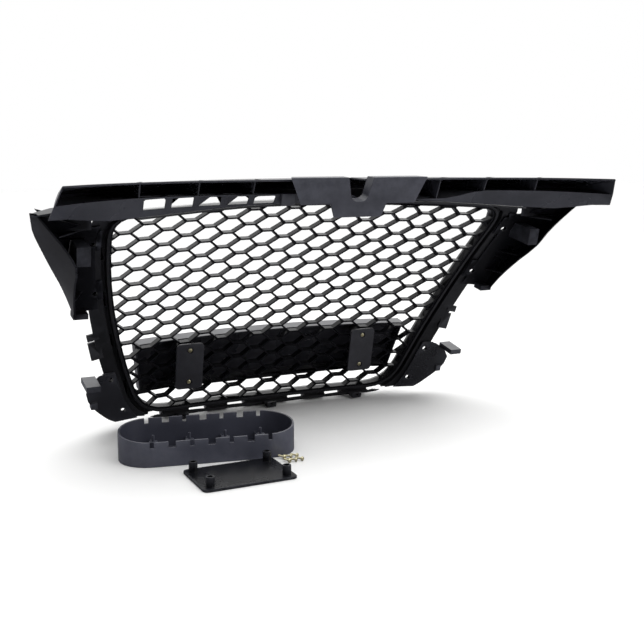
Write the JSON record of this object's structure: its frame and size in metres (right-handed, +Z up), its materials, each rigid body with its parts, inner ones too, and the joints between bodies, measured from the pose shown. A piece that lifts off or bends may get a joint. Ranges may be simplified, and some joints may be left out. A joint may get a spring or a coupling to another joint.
{
  "type": "front grille",
  "caption": "Honeycomb front grille with a long top panel, side wings and a number plate bracket, with its loose badge carrier, clamp plate and screws.",
  "frame": {"origin": "middle of the base of the whole kit's box, on the surface it stands on", "axes": "+Z up, +X to the car's left, -Y the way the grille faces, +Y to its rear; the grille leans back 12 degrees about X from its place on the car"},
  "size_m": [0.9306, 0.4372, 0.4299],
  "materials": {
    "mesh_black": "semi-gloss moulded black",
    "frame_black": "satin moulded black",
    "trim_gloss": "gloss black",
    "panel_black": "semi-gloss moulded black",
    "wing_black": "semi-gloss moulded black",
    "block_black": "satin moulded black",
    "bracket_black": "satin moulded black",
    "clamp_black": "satin moulded black",
    "carrier_satin": "satin blue-black",
    "screw_zinc": "yellow zinc plated"
  },
  "bodies": {
    "grille": {"honeycomb_mesh": "mesh_black", "surround_frame": "frame_black", "front_trim": "trim_gloss", "top_panel": "panel_black", "duct_shelf": "panel_black", "latch_block": "block_black", "plate_bracket": "bracket_black", "side_wing_left": "wing_black", "wing_box_left": "wing_black", "lower_corner_left": "wing_black", "plate_clamp_left": "clamp_black", "clamp_screw_left_1": "screw_zinc", "clamp_screw_left_2": "screw_zinc", "side_wing_right": "wing_black", "wing_box_right": "wing_black", "lower_corner_right": "wing_black", "plate_clamp_right": "clamp_black", "clamp_screw_right_1": "screw_zinc", "clamp_screw_right_2": "screw_zinc"},
    "carrier": {"badge_carrier": "carrier_satin"},
    "kit_plate": {"badge_clamp_plate": "clamp_black"},
    "kit_screws": {"loose_screw_1": "screw_zinc", "loose_screw_2": "screw_zinc", "loose_screw_3": "screw_zinc", "loose_screw_4": "screw_zinc", "loose_screw_5": "screw_zinc", "loose_screw_6": "screw_zinc"}
  },
  "joints": [
    {"name": "carrier_lift", "type": "slide", "parent": "grille", "child": "carrier", "axis": [0, 0, 1], "range_m": [0, 0.1]},
    {"name": "kit_plate_lift", "type": "slide", "parent": "grille", "child": "kit_plate", "axis": [0, 0, 1], "range_m": [0, 0.1]},
    {"name": "kit_screws_lift", "type": "slide", "parent": "grille", "child": "kit_screws", "axis": [0, 0, 1], "range_m": [0, 0.08]}
  ]
}
